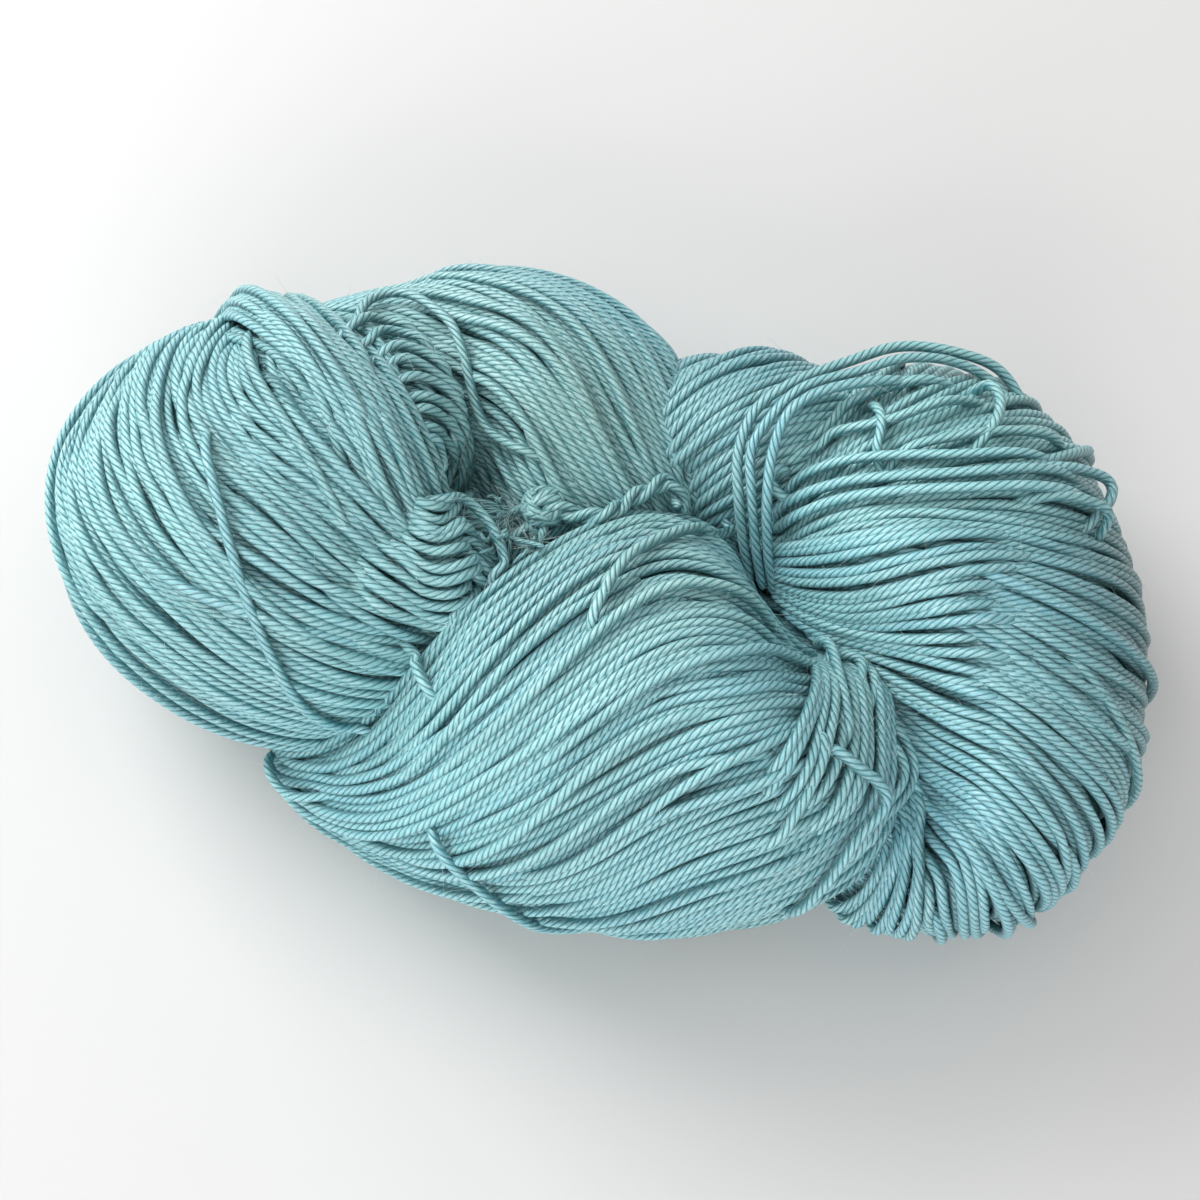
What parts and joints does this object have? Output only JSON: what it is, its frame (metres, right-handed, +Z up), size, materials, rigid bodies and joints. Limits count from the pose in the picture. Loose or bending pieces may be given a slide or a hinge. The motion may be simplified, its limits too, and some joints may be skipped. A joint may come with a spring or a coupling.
{
  "type": "skein of yarn",
  "caption": "Twisted hank of plied yarn lying on its side, its folds wound round each other and held by a short knotted tie, ready to be wound for knitting.",
  "frame": {"origin": "on the surface that the skein rests on, under the middle of its outline", "axes": "+X along the skein towards its wider fold, +Y across it, +Z up"},
  "size_m": [0.1802, 0.1147, 0.0655],
  "materials": {
    "hank_yarn": "soft plied yarn, pale aqua with faded blue and grey-green stretches",
    "tie_yarn": "soft plied yarn, pale aqua, frayed at its ends"
  },
  "bodies": {
    "root": {"hank": "hank_yarn", "tie": "tie_yarn"}
  },
  "joints": []
}
